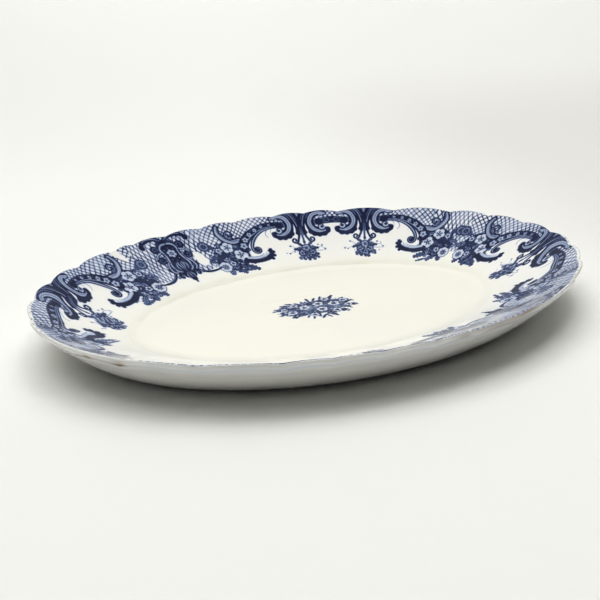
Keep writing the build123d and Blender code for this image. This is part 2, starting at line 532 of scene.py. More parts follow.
def draw_arch(pen):
    """The flowered band, its volute and the hooked scroll under it."""
    # small comma that hangs from the band
    pen.line([(29.5, 14.5), (33, 17.5), (34, 21), (32.2, 24)], (1.0, 0.8, 0.5), 0.55)
    pen.line([(27.0, 15.5), (28.6, 18), (28.4, 20.5)], (0.7, 0.4), 0.4)
    # hooked scroll: pale inside, dark round its outside
    hook = [(63, 45.4), (57, 47.6), (50, 48.4), (43.4, 47.6), (38.2, 45.4), (36.0, 41.6), (37.6, 38.6)]
    bay = [(64, 39), (58, 42), (50, 43.6), (44, 43), (41, 40), (38, 42), (40, 46), (50, 48), (64, 46)]
    pen.shape(bay, 0.14)
    pen.line(hook, (6.6, 6.8, 5.6, 5.4, 5.8, 5.0, 2.6))
    pen.line([(61, 43), (54, 44.6), (47, 44.4), (41.8, 42.4), (40.2, 39.4)], (2.4, 2.6, 2.2, 1.2), 0.26)
    pen.line([(60, 41.6), (53, 43.2), (47, 42.8), (43, 40.6)], (0.5, 0.6, 0.5), 0.62)
    pen.line([(58, 45.2), (51, 46.2), (44, 45.4), (39.6, 42.4)], (0.4, 0.5, 0.4), 0.5)
    for x, y in ((35.6, 37.6), (33.8, 40.6), (34.2, 45.0), (37.0, 48.6)):
        pen.dot(x, y, 1.9)
    # inner line of the arch, ending in the volute
    line = [(19, 14.2), (29, 14.2), (37, 16.3), (43.8, 20.6), (48.6, 25.8), (51.2, 30.8), (51.8, 35)]
    curl = list(map(tuple, spiral(47.8, 35.4, 4.0, 0.0, 1.25, tight=0.2)))
    pen.line(line + curl, (1.8, 2.4, 3.2, 3.8, 3.6, 3.2, 2.6))
    # band
    pen.line(BAND, BAND_WIDTH)
    pen.line([(x, y + 1.5 + 0.024 * x) for x, y in BAND[1:6]], (0.5, 0.6, 0.7), 0.3)
    pen.line(line + curl[:-6], (0.35, 0.6, 0.9, 1.0, 0.9, 0.6, 0.35), 0.3)
    # florets, larger towards the cluster
    places = smooth_line(BAND)
    for share, radius in ((0.3, 1.4), (0.43, 1.7), (0.56, 2.0), (0.69, 2.5), (0.82, 3.1), (0.95, 3.7)):
        x, y = places[int(share * (len(places) - 1))]
        for dx, dy in ring_of(5, 0.6 * radius, 0.4 + share * 5):
            pen.dot(x + dx, y + dy, 0.36 * radius, 0.34)
        pen.dot(x, y, 0.24 * radius, 0.9)
    for k in range(len(places) // 8, len(places), 12):
        x, y = places[k]
        pen.dot(x, y - 0.3 * (4.4 + x * 0.05), 0.4, 0.42)
    # links on the dark head by the shell
    pen.line([(14.5, 11), (18, 10.4), (21, 10.2)], 0.45, 0.3)
    pen.line([(14.5, 14.4), (18, 13.6), (21, 13)], 0.45, 0.3)


def draw_cluster(pen, seed, swag=True):
    """Flowers and leaves between the band and the cartouche, under a tall scroll."""
    rng = np.random.default_rng(seed)
    leaves = (
        (62, 42, 2.4, 11, 8), (70, 46, 1.8, 11, 8), (60, 47, 2.7, 10, 6), (78, 48, 1.5, 11, 8),
        (86, 43, 0.9, 10, 7), (66, 30, -1.2, 10, 7), (72, 22, -1.4, 8, 6), (88, 34, 0.2, 10, 7),
        (80, 37, 1.4, 12, 9), (68, 51, 2.7, 15, 7), (84, 52, 1.2, 9, 7), (92, 40, -0.3, 8, 5),
        (76, 54, 2.2, 9, 6), (62, 34, 2.9, 8, 6), (70, 36, 0.4, 9, 7), (72, 58, 2.9, 14, 3.4),
        (88, 26, -0.9, 7, 5), (80, 30, -0.8, 10, 6), (74, 50, 0.3, 9, 7), (82, 44, 2.6, 10, 7),
    )
    ground = [(58, 30), (66, 20), (78, 21), (88, 27), (94, 40), (89, 51), (79, 55), (66, 51), (58, 44)]
    pen.shape(ground, 0.93)
    for x, y, turn, long, wide in leaves:
        draw_leaf(pen.at(x, y, turn + rng.normal(0, 0.15)), long, wide, rng.uniform(0.5, 0.8))
    for _ in range(150):
        x, y = rng.uniform(60, 96), rng.uniform(22, 55)
        if (x - 78) ** 2 / 330 + (y - 39) ** 2 / 260 < 1:
            pen.dot(x, y, rng.uniform(0.3, 0.9), rng.choice((0.25, 0.4, 1.0, 1.0)))
    # tall scroll that curls in beside the net
    scroll = [(60, 22), (67, 22.4), (73.4, 18.4), (77, 11.6), (75.6, 5)]
    pen.edged(scroll, (3.6, 4.4, 4.2, 3.4, 2.2), 0.4, 1.5)
    pen.line([(62, 21.8), (67.6, 21.4), (73, 17.2), (76, 10.8), (75.2, 5.6)], (0.5, 0.6), 0.85)
    pen.line(spiral(67.5, 14.5, 5.0, 1.9, -1.35, 0.2), (2.6, 2.0))
    pen.line(spiral(67.5, 14.5, 4.6, 1.7, -1.0, 0.25), (0.7, 0.5), 0.4)
    # flowers
    for x, y, radius, petals in (
        (75.4, 27.5, 6.0, 5), (66, 38, 6.8, 5), (88.5, 48.4, 6.4, 7), (96, 21.5, 4.4, 8),
        (85, 29, 2.8, 5), (79, 46, 3.0, 5),
    ):
        tone = 0.2 if petals < 8 else 0.55
        if petals == 8:
            pen.dot(x, y, 5.6, 0.85)
        draw_flower(pen.at(x, y), radius, petals, tone, rng.uniform(0, 1.2))
    if swag:
        rope = [(92, 47), (98, 48.8), (106, 48.8), (112, 46.4), (117, 41.6), (119, 35)]
        pen.line(rope, (1.6, 2.4, 2.8, 3.0, 2.6))
        pen.line([(x, y - 0.7) for x, y in rope[2:-1]], (0.3, 0.5, 0.4), 0.45)


def draw_shell(pen):
    """The scroll beside a column: a broad pale band that wraps the dark head of the band."""
    lobes = ((9.8, 22.8, 3.2), (12.6, 25.0, 3.4), (17, 26.0, 3.4), (21.6, 25.6, 3.3), (25.2, 22.8, 3.0))
    tops = ((12.5, 1.6, 2.2), (17, 0.8, 2.2), (21.5, 1.6, 2.2), (25, 3.8, 1.8))
    for x, y, radius in lobes + tops:
        pen.dot(x, y, radius)
    ground = [
        (8, 2), (24, 1), (26, 6), (15, 8), (14, 18), (27, 19), (27, 25), (18, 28.6), (9, 25), (5.6, 13),
    ]
    pen.shape(ground)
    band = [(24.8, 4.6), (18.5, 3.4), (12.6, 5.8), (9.6, 12.8), (11.8, 19.4), (17, 22.8), (22.6, 22.4)]
    pen.line(band, (1.8, 2.8, 3.4, 3.6, 3.4, 3.0, 2.2), 0.37)
    pen.line(band, (0.3, 0.5, 0.6, 0.6, 0.6, 0.5, 0.3), 0.66)
    pen.line([(24, 1.8), (17.4, 0.6), (10.6, 2.8), (7.2, 8)], (0.4, 0.6, 0.5), 0.45)
    inner = [(23, 6.6), (18.2, 6.0), (14.4, 7.8), (12.6, 12.8), (14.2, 17.2), (18.6, 19.8), (22.5, 19.6)]
    pen.line(inner, (0.7, 1.2, 1.5, 1.6, 1.5, 1.2, 0.8))
    # curls inside the two open ends
    pen.dot(20.2, 18.2, 3.2, 0.3)
    pen.line(spiral(20.2, 18.0, 4.2, 0.7, 1.2, 0.2), (1.3, 1.0))
    pen.dot(20.2, 18.0, 1.0)
    pen.line(spiral(20.8, 7.2, 2.4, -0.6, -0.9), (0.9, 0.6), 0.34)
    # dark head of the band
    pen.dot(16.4, 12.9, 3.2)
    pen.dot(19.6, 12.7, 2.8)
    pen.line([(15.2, 10.4), (14.1, 12.8), (15.4, 15.4)], 0.5, 0.34)


def draw_column(pen):
    """Fan at the rim, a stem that parts into two curls, and a shell to each side."""
    pen.shape([
        (-16, -1), (16, -1), (13, 5), (6.4, 11), (4.6, 19), (5.6, 24), (0, 26), (-5.6, 24), (-4.6, 19),
        (-6.4, 11), (-13, 5),
    ])
    for side in (1, -1):
        half = pen.flipped(side)
        draw_shell(half)
        half.line([(11, 0.6), (6.4, 4.4), (3.8, 10), (2.6, 16), (2.8, 23)], (0.5, 0.8, 0.8, 0.5), 0.4)
        half.line([(7.4, 0.4), (4.6, 4), (2.2, 9)], (0.6, 0.4), 0.45)
        half.line([(9.4, 0.2), (6.0, 3.2)], (0.7, 0.4), 0.5)
        half.line([(3.0, 17), (3.0, 23), (3.5, 27.6), (5.2, 31.4)], (2.0, 2.2, 2.2, 1.9))
        half.line(spiral(8.3, 31.0, 3.4, 2.9, -1.15, 0.25), (1.9, 1.6))
    pen.line([(0, 17), (0, 24), (0, 34)], (1.6, 2.8, 2.2), 0.5)
    pen.line([(0, 13), (0, 35)], (0.9, 0.8), 0.95)
    pen.shape([(-1.8, -0.5), (1.8, -0.5), (1.0, 3.6), (0, 5.6), (-1.0, 3.6)], 0.5)


def draw_sprig(pen, seed):
    """Bouquet that hangs under a column."""
    rng = np.random.default_rng(seed)
    stems = (
        [(-4, 38), (-9, 41), (-12, 38.4), (-15, 37)], [(4, 39), (10, 42), (15, 41), (19, 44)],
        [(-5, 42), (-12, 43), (-18, 46)], [(5, 44), (12, 45.6), (20, 45.4)],
    )
    for stem in stems:
        pen.line(stem, (0.9, 0.6, 0.4), Pen.MID)
    for x, y in ((-15, 37), (-18, 46), (-21, 45), (19, 44), (16.5, 39.4), (-12.4, 44.6), (12.6, 38.2)):
        pen.dot(x, y, rng.uniform(0.6, 1.1), 0.72)
    pen.shape([(-3, 37), (3, 37), (8, 42), (9, 49), (4, 54), (-4, 54), (-9, 49), (-8, 42)], 0.8)
    for x, y, turn, long, wide in (
        (-2, 46, 2.5, 11, 5), (2, 46, 0.6, 11, 5), (-1, 49, 2.0, 9, 5), (1, 49, 1.1, 10, 5),
        (-5, 42, 3.0, 8, 4), (5, 42, 0.1, 8, 4), (-4, 50, 2.5, 8, 4), (4, 50, 0.5, 9, 4),
        (0, 52, 1.57, 6, 4), (-3, 38, -2.5, 6, 3.6), (3, 38, -0.7, 6, 3.6), (0, 36, -1.57, 4, 3),
    ):
        draw_leaf(pen.at(x, y, turn + rng.normal(0, 0.12)), long, wide, rng.uniform(0.55, 0.9), 3)
    for x, y, radius in (
        (0, 41, 3.9), (-5.4, 46.8, 2.8), (5.4, 47, 3.0), (0.6, 51, 2.5), (-8, 52.4, 1.8), (8.4, 52, 1.8),
        (-6.8, 40.4, 1.6), (7, 40, 1.7),
    ):
        draw_flower(pen.at(x, y), radius, 5, 0.42, rng.uniform(0, 1.2))
    for _ in range(40):
        x, y = rng.normal(0, 5.2), rng.normal(47, 4.4)
        pen.dot(x, y, rng.uniform(0.3, 0.9), rng.choice((0.3, 0.95, 1.0)))


def draw_cartouche(pen):
    """Crowned panel with a flower in it, scrolls at its sides and a leaf that hangs below."""
    half_body = [(8, 8), (9.6, 16), (9, 24), (10.4, 32), (9, 40), (5, 45)]
    body = [(-8, 8), (0, 5)] + half_body + [(0, 46)] + [(-x, y) for x, y in half_body[:0:-1]]
    pen.shape(body, 0.92)
    for side in (1, -1):
        half = pen.flipped(side)
        # wing along the rim
        half.line([(0, 7), (6, 3.2), (13, 2.4), (19, 4.2), (22, 7.4)], (3.4, 4.0, 4.4, 4.2, 3.0))
        half.dot(21.4, 7.8, 2.7)
        half.line([(2, 5.4), (7, 2.6), (13, 1.6), (18, 3.0)], (0.6, 1.1, 0.7), 0.42)
        # pale arch and outer band down the side
        rib = [(0, 9.6), (5, 10.4), (7.8, 14.6), (6.4, 19.6), (7.6, 26), (9.4, 32), (8.6, 38.4), (4.4, 42)]
        half.edged(rib, (1.4, 1.7, 1.6, 1.4), 0.36, 0.8)
        for x, y, radius, way in ((12.4, 13, 4.2, 1), (14.0, 24.6, 4.2, -1), (13, 36.6, 3.6, 1)):
            half.dot(x, y, radius)
            half.line(spiral(x, y, radius * 0.66, 2.6, way * 0.9, 0.3), (0.6, 0.5), 0.5)
        half.edged([(9.6, 17), (13.6, 18.6), (16.4, 22)], (1.2, 0.9), 0.34, 0.7)
        half.edged([(9.8, 28), (12.6, 32), (13.4, 38), (10, 43), (14, 46.6)], (1.2, 1.4, 1.0), 0.36, 0.8)
        half.line([(3.4, 31), (5.2, 34.6), (4.2, 38.6)], (0.9, 1.3, 0.6), 0.4)
        half.line([(1.6, 29.4), (2.4, 33), (1.4, 37.6)], (0.8, 1.0, 0.5), 0.34)
        # curls of the leaf below
        half.line([(0, 41), (5.0, 43.6), (9.2, 42.6), (11.0, 45.4)], (3.6, 4.2, 3.8, 2.6))
        half.dot(9.8, 46.6, 2.4)
        half.line(spiral(9.4, 46.2, 1.5, 2.4, 0.8, 0.3), (0.6, 0.5), 0.5)
        half.line([(1.4, 42.6), (5.4, 44.6), (8.6, 43.8)], (0.8, 0.9, 0.5), 0.42)
    leaf = [(6, 42), (6.6, 47.5), (3.6, 50), (2.6, 53)]
    pen.shape([(-6, 42)] + leaf + [(0, 55)] + [(-x, y) for x, y in leaf[:0:-1]])
    for x in (-3.4, 0, 3.4):
        pen.line([(0.5 * x, 43), (x, 46.4), (0.8 * x, 49.6)], (0.6, 1.3, 0.6), 0.42)
    pen.shape([(-6.6, 13), (0, 11), (6.6, 13), (6.4, 20), (5, 27), (0, 30), (-5, 27), (-6.4, 20)])
    for x, y in ring_of(6, 2.9, 0.5):
        pen.dot(x, 20 + y, 1.45, 0.34)
    pen.dot(0, 20, 1.5)
    pen.dot(0, 20, 0.8, 0.36)
    for x, y in ((0, 14), (-4.4, 15.4), (4.4, 15.4), (-3.4, 26), (3.4, 26), (0, 28)):
        pen.dot(x, y, 0.5, 0.36)
    pen.dot(0, 55.8, 1.3)
    pen.line([(0, 32), (0, 42)], (0.8, 0.5), 0.34)


def draw_bar(pen, long):
    """Dark bar of links between the shells of two columns."""
    middle = long / 2
    bar = [(15, 12.8), (22, 12), (middle, 11.4), (long - 22, 12), (long - 15, 12.8)]
    pen.line(bar, (6.0, 6.8, 7.2, 6.8, 6.0))
    for way in (1, -1):
        end = middle - way * 3.2
        far = middle - way * 10
        pen.line([(far, 9.6), (end, 9.6), (end, 13.4), (far, 13.4)], 0.5, 0.45)
        pen.line([(far, 11.5), (end - way * 2, 11.5)], 0.5, 0.5)
    for x in (-1, 1):
        pen.dot(middle + x, 11.4, 0.45, 0.5)


def draw_spray(pen, seed):
    """Lens-shaped bouquet for the middle of the well."""
    rng = np.random.default_rng(seed)
    ground = [(-24, 2), (-14, 10), (0, 13), (14, 12), (25, 4), (18, -7), (6, -12), (-8, -12), (-20, -7)]
    pen.shape(ground, 0.62)
    for k in range(130):
        x = rng.uniform(-31, 31)
        y = rng.uniform(-1, 1) * 19 * (1 - (x / 34) ** 2) ** 0.7
        turn = math.atan2(1.3 * y, x) + rng.normal(0, 0.5)
        long, tone = rng.uniform(4.5, 8.5), rng.choice((0.45, 0.62, 0.75, 0.95))
        draw_leaf(pen.at(x * 0.86, y * 0.86, turn), long, rng.uniform(1.6, 2.8), tone, 3)
    for _ in range(26):
        x = rng.uniform(-25, 25)
        y = rng.uniform(-1, 1) * 14 * (1 - (x / 30) ** 2) ** 0.7
        tip = (x + rng.normal(0, 4), y + rng.normal(0, 1.6))
        pen.line([(x, y), (0.5 * (x + tip[0]), 0.5 * (y + tip[1]) + 0.8), tip], (0.4, 0.8, 0.4), 0.2)
    for x, y, radius in (
        (-20, -3, 3.8), (-9, 3, 4.2), (2, -5, 4.4), (3, 6, 4.2), (14, 2, 4.6), (22, 6, 3.4),
        (-14, 10, 3.2), (11, 13, 3.4), (-6, -13, 3.4), (12, -11, 3.6), (24, -4, 3.0), (-25, 4, 2.8),
    ):
        draw_flower(pen.at(x + rng.normal(0, 0.7), y), radius, 5, 0.12, rng.uniform(0, 1.2))
        pen.dot(x, y, 0.3 * radius, 0.9)
    for _ in range(170):
        x = rng.uniform(-30, 30)
        y = rng.uniform(-1, 1) * 17 * (1 - (x / 33) ** 2) ** 0.8
        pen.dot(x, y, rng.uniform(0.25, 0.6), rng.choice((0.15, 0.25, 0.95)))


# Places along the edge, clockwise from the left end, in millimetres
COLUMNS = {
    "west": 62.0, "north_west": 320.5, "north_east": 381.0, "east": 578.0, "south_east": 846.0,
    "south_west": 912.0,
}
# The arches, each with the way it runs from its column
ARCHES = (
    ("west", -1), ("west", 1), ("north_west", -1), ("north_east", 1), ("east", -1), ("east", 1),
    ("south_east", -1), ("south_west", 1),
)
CARTOUCHES = (193.0, 712.0, 1052.0)
BARS = (("north_west", "north_east"), ("south_east", "south_west"))
JOIN = 475.0
AROUND = 1125.4  # length of the drawing, once round the rim
DRAWN_EDGE = AROUND * MM
# Places where the net is left bare
GAPS = (
    (215, 31, 5), (215.6, 36, 5.2), (213.4, 27, 3), (146, 4, 4), (148, 9, 3.4), (144.6, 0, 3.4),
    (150, 13, 2),
)


def draw_border(sheet):
    """The whole border, from the ground up."""
    for name, way in ARCHES:
        start = COLUMNS[name]
        short = (name, way) == ("north_east", 1)
        edge = sorted((start + way * x, y) for x, y in NET_EDGE)
        ends = sorted((start, start + way * (100 if short else 131)))
        draw_net(sheet, ends[0], ends[1], edge, seed=int(start) + way)
        if not short:
            tall = [(x, y) for x, y in edge if abs(x - start) > 94]
            draw_net(sheet, tall[0][0], tall[-1][0], tall, (4.2, 9.0), seed=5)
    for a, b in BARS:
        draw_net(sheet, COLUMNS[a], COLUMNS[b], [(COLUMNS[a], 10), (COLUMNS[b], 10)], seed=3)
    for x, y, radius in GAPS:
        Pen(sheet).dot(x, y, radius, Pen.BARE)
    for k, (name, way) in enumerate(ARCHES):
        merged = (name, way) in (("north_east", 1), ("east", -1))
        draw_cluster(Pen(sheet, COLUMNS[name], mirror=way), seed=20 + k, swag=not merged)
    for name, way in ARCHES:
        draw_arch(Pen(sheet, COLUMNS[name], mirror=way))
    for place in CARTOUCHES:
        draw_cartouche(Pen(sheet, place))
    for a, b in BARS:
        draw_bar(Pen(sheet, COLUMNS[a]), COLUMNS[b] - COLUMNS[a])
    for k, (name, place) in enumerate(COLUMNS.items()):
        draw_column(Pen(sheet, place))
        draw_sprig(Pen(sheet, place), seed=40 + k)


# ---------------------------------------------------------------------------------------------
# Pieces
# ---------------------------------------------------------------------------------------------


def shape_of(context):
    return Shape(context.scene.platter_sizes)


def graph(material):
    """Empty node tree of a material with its output node."""
    material.use_nodes = True
    nodes = material.node_tree.nodes
    nodes.clear()
    return nodes, material.node_tree.links, nodes.new("ShaderNodeOutputMaterial")


def mixed(nodes, links, factor, low, high, blend="MIX"):
    """A colour mix whose inputs are sockets or values."""
    node = nodes.new("ShaderNodeMix")
    node.data_type, node.blend_type = "RGBA", blend
    for socket, value in ((node.inputs[0], factor), (node.inputs[6], low), (node.inputs[7], high)):
        if isinstance(value, bpy.types.NodeSocket):
            links.new(value, socket)
        elif isinstance(value, (int, float)):
            socket.default_value = value
        else:
            socket.default_value = (*value[:3], 1.0)
    return node.outputs[2]


def attribute(nodes, name):
    node = nodes.new("ShaderNodeAttribute")
    node.attribute_name = name
    return node.outputs["Fac"]


def noise(nodes, links, scale, detail=4.0, rough=0.5):
    place = nodes.new("ShaderNodeTexCoord")
    node = nodes.new("ShaderNodeTexNoise")
    node.inputs["Scale"].default_value = scale
    node.inputs["Detail"].default_value = detail
    node.inputs["Roughness"].default_value = rough
    links.new(place.outputs["Object"], node.inputs["Vector"])
    return node.outputs["Fac"]


def stepped(nodes, links, value, low, high, to_low=0.0, to_high=1.0):
    node = nodes.new("ShaderNodeMapRange")
    node.interpolation_type = "SMOOTHSTEP"
    links.new(value, node.inputs["Value"])
    for name, amount in (("From Min", low), ("From Max", high), ("To Min", to_low), ("To Max", to_high)):
        node.inputs[name].default_value = amount
    return node.outputs["Result"]


def combined(nodes, links, operation, first, second):
    """The two values added or multiplied."""
    node = nodes.new("ShaderNodeMath")
    node.operation = operation
    links.new(first, node.inputs[0])
    links.new(second, node.inputs[1])
    return node.outputs[0]


def bumped(nodes, links, shader, output, height, strength, distance):
    """Gives the shader small bumps and sends it to the output."""
    bump = nodes.new("ShaderNodeBump")
    bump.inputs["Strength"].default_value = strength
    bump.inputs["Distance"].default_value = distance
    links.new(height, bump.inputs["Height"])
    links.new(bump.outputs["Normal"], shader.inputs["Normal"])
    links.new(shader.outputs["BSDF"], output.inputs["Surface"])


def glazed_material(name, colours, printed):
    """Glossy glaze over a cream ground; the print, where there is one, is an attribute."""
    material = bpy.data.materials.new(name)
    nodes, links, output = graph(material)
    shader = nodes.new("ShaderNodeBsdfPrincipled")
    shader.inputs["Roughness"].default_value = 0.09
    shader.inputs["IOR"].default_value = 1.52
    cloud = noise(nodes, links, 9.0, 3.0)
    fine = noise(nodes, links, 60.0, 4.0)
    ground = mixed(nodes, links, attribute(nodes, "rim"), colours.well, colours.rim)
    # painted shade: the side and the back are greyer than the face
    ground = mixed(nodes, links, attribute(nodes, "back"), ground, colours.back)
    patch = stepped(nodes, links, cloud, 0.42, 0.68, 0.0, 0.05)
    ground = mixed(nodes, links, patch, ground, colours.flow)
    # painted shade round the crease of the well
    ground = mixed(nodes, links, attribute(nodes, "crease_shade"), ground, colours.crease_shade)
    ground = mixed(nodes, links, attribute(nodes, "pool"), ground, colours.pooled)
    ground = mixed(nodes, links, attribute(nodes, "stain"), ground, colours.stain)
    if printed:
        ground = mixed(nodes, links, attribute(nodes, "haze"), ground, colours.flow)
        ramp = nodes.new("ShaderNodeValToRGB")
        points = ramp.color_ramp.elements
        points[0].position, points[0].color = 0.0, (*colours.pale_ink, 1)
        points[1].position, points[1].color = 1.0, (*colours.dark_ink, 1)
        middle = points.new(0.5)
        middle.color = (*colours.middle_ink, 1)
        ink = attribute(nodes, "ink")
        depth = stepped(nodes, links, fine, 0.3, 0.7, -0.04, 0.04)
        tone = stepped(nodes, links, combined(nodes, links, "ADD", ink, depth), 0.3, 1.0)
        tone.node.interpolation_type = "LINEAR"
        links.new(tone, ramp.inputs[0])
        cover = stepped(nodes, links, ink, 0.02, 0.34)
        ground = mixed(nodes, links, cover, ground, ramp.outputs[0])
    ground = mixed(nodes, links, attribute(nodes, "dash"), ground, colours.middle_ink)
    links.new(ground, shader.inputs["Base Color"])
    bumped(nodes, links, shader, output, cloud, 0.05, 0.0006)
    return material


def biscuit_material(name, colours):
    material = bpy.data.materials.new(name)
    nodes, links, output = graph(material)
    shader = nodes.new("ShaderNodeBsdfPrincipled")
    shader.inputs["Roughness"].default_value = 0.85
    grain = noise(nodes, links, 900.0, 5.0, 0.7)
    cloud = noise(nodes, links, 35.0, 3.0)
    dark = tuple(0.62 * c for c in colours.biscuit)
    base = mixed(nodes, links, stepped(nodes, links, cloud, 0.35, 0.7, 0.0, 0.6), colours.biscuit, dark)
    base = mixed(nodes, links, stepped(nodes, links, grain, 0.5, 0.7, 0.0, 0.5), base, dark)
    links.new(base, shader.inputs["Base Color"])
    bumped(nodes, links, shader, output, grain, 0.4, 0.0002)
    return material


def material_for(context, kind):
    """The scene's one material of a kind, made when first asked for."""
    known = bpy.data.materials.get(kind)
    if known:
        return known
    colours = context.scene.platter_colours
    if kind == "biscuit_clay":
        return biscuit_material(kind, colours)
    return glazed_material(kind, colours, kind == "printed_glaze")


def ripple(along, offset):
    """Slow wander between 0 and 1 along the edge."""
    a = np.sin(along / 0.031 + offset) + np.sin(along / 0.0117 + 2.3 * offset)
    return 0.5 + 0.25 * (a + 0.5 * np.sin(along / 0.0043 + 5.1 * offset)) / 1.25


def apart(along, place, edge):
    """Distance between places on the closed edge, the shorter way round."""
    return np.abs(np.mod(along - place + edge / 2, edge) - edge / 2)


# Brown marks in the lip: place along the edge, run, reach along, reach across, strength
STAINS = (
    (1.0430, -0.0012, 0.0030, 0.0007, 1.4), (1.0200, -0.0010, 0.0040, 0.0008, 1.6),
    (1.0420, -0.0012, 0.0300, 0.00045, 1.0), (1.0700, -0.0014, 0.0160, 0.00035, 0.6),
    (0.7680, -0.0006, 0.0340, 0.0020, 0.42), (0.7450, 0.0004, 0.0090, 0.0006, 0.6),
    (0.6850, 0.0003, 0.0060, 0.0006, 0.5), (0.8050, -0.0006, 0.0060, 0.0006, 0.4),
)


def tint(piece, shape, along, run):
    """Writes the glaze's shading values. The run is negative on the side of the platter."""
    along, run = np.broadcast_arrays(along, run)
    inset = shape.inset_at(along, np.abs(run))
    face = run >= 0
    well = shape.s.well_inset
    rim = np.where(face, 1 - np.clip((inset - 0.045) / 0.03, 0, 1), 1.0)
    # painted shade: the side and the back turn greyer just past the lip
    back = np.where(face, 0.0, np.clip((-run - 0.0008) / 0.004, 0, 1))
    # painted shade along the crease of the well, stronger on the far side; glaze that pools along the lip
    near = well - 0.0105 + 0.003 * ripple(along, 6.4)
    rise = np.clip((inset - near + 0.013) / 0.013, 0, 1) ** 2
    crease_shade = rise * np.clip((near + 0.0018 - inset) / 0.0018, 0, 1) * face
    crease_shade *= 0.45 + 0.55 * ripple(along, 3.1)
    crease_shade *= 0.3 + 0.7 * np.clip(np.sin(along / shape.edge * 2 * math.pi), 0, 1)
    lip = np.exp(-(((run + 0.0017) / (0.0013 + 0.0009 * ripple(along, 1.7))) ** 2))
    pool = 0.85 * lip * (0.55 + 0.45 * ripple(along, 2.9))
    pool += 0.4 * np.exp(-(((run + 0.0074) / 0.0011) ** 2)) * ripple(along, 4.2)
    stain = np.zeros_like(inset)
    for at, down, long, deep, strong in STAINS:
        away = apart(along, at * shape.edge / DRAWN_EDGE, shape.edge)
        stain += strong * np.exp(-((away / long) ** 2) - ((run - down) / deep) ** 2)
    stain *= 0.45 + 0.8 * ripple(along, 7.7)
    stain += 0.10 * np.exp(-((run / 0.0009) ** 2)) * ripple(along, 9.1) ** 2
    # ends of the print that reach over the crest
    dash = np.clip(1.5 * np.sin(along / 0.0013 + 3 * np.sin(along / 0.0087)) - 0.2, 0, 1)
    dash *= np.exp(-(((run - 0.0014) / 0.0004) ** 2)) * np.clip(2.2 * ripple(along, 3.3) - 0.4, 0, 0.9)
    for name, values in (
        ("rim", rim), ("back", back), ("crease_shade", crease_shade), ("pool", pool), ("stain", stain),
        ("dash", dash),
    ):
        set_values(piece, name, np.clip(values, 0, 1))


def attach(piece, slot, material, *nodes):
    piece.data.materials.append(material)
    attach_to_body(piece, BODY)
    if nodes:
        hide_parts(*nodes)


def fine_runs(nose, end, step):
    """Runs packed round the nose, then even."""
    turn = nose * (1 - np.cos(np.linspace(0, math.pi / 2, 6)))
    rest = np.linspace(nose, end, max(2, int(math.ceil((end - nose) / step)) + 1))[1:]
    return np.concatenate([turn, rest])


def moved_in(ring, depth, down):
    """A ring moved towards the middle of the oval and down."""
    flat = ring[:, :2]
    ahead, behind = np.roll(flat, -1, 0), np.roll(flat, 1, 0)
    way = ahead - behind
    way /= np.linalg.norm(way, axis=1, keepdims=True)
    inward = np.stack([way[:, 1], -way[:, 0]], -1)
    return np.column_stack([flat + inward * depth, ring[:, 2] - down])


UNDER_GLAZE = 0.0002  # how far the clay stays below the glaze's underside
CLAY_COLUMNS, CLAY_STEP, CLAY_FACE_END = 560, 0.004, 0.0765
GLAZE_COLUMNS, SIDE_STEP, FACE_STEP, GLAZE_FACE_END = 1126, 0.0016, 0.0022, 0.0768
BASE_COLUMNS, BASE_THICK = 480, 0.0005


def make_clay(context):
    """The clay body: bare foot ring, and everything else just under the glaze."""
    shape = shape_of(context)
    s = shape.s
    along = np.linspace(0, shape.edge, CLAY_COLUMNS, endpoint=False)
    cover = s.glaze + UNDER_GLAZE
    rings = []
    for run in fine_runs(s.nose, CLAY_FACE_END, CLAY_STEP)[::-1]:
        ring = shape.face(along, run)
        inward, down = 1 if run < s.nose else 0.35, 0.25 if run < 0.001 else 1.0
        rings.append(moved_in(ring, cover * inward, cover * down))
    for run in fine_runs(s.nose, s.foot_inset - 0.004, CLAY_STEP)[1:]:
        ring = shape.side(along, run)
        rings.append(moved_in(ring, cover, -cover * min(1.0, run / 0.004)))
    # the foot, from its outside under to its inside
    zero = np.zeros(CLAY_COLUMNS)
    outer, inner = s.foot_inset, s.foot_inset + s.foot_wide
    hollow = s.recess + 0.0006
    for inset, z in (
        (outer - 0.0009, 0.0013), (outer - 0.0004, s.bare), (outer + 0.0001, 0.00012), (outer + 0.0006, 0.0),
        (inner - 0.0010, 0.0), (inner - 0.0005, 0.00012), (inner - 0.0002, s.bare),
        (inner + 0.0002, s.bare + 0.0011), (inner + 0.0010, hollow),
    ):
        rings.append(shape.place(along, zero + inset, zero + z))
    rings += shrunk(rings[-1], (0.75, 0.5, 0.25, 0.08), hollow)
    rings = shrunk(rings[0], (0.1, 0.4, 0.7, 0.95), s.well_z - cover) + rings
    piece = ringed_mesh("platter_clay", rings[::-1], (0, 0, hollow), (0, 0, s.well_z - cover))
    attach(piece, "biscuit", material_for(context, "biscuit_clay"), "clay_body")
    return piece


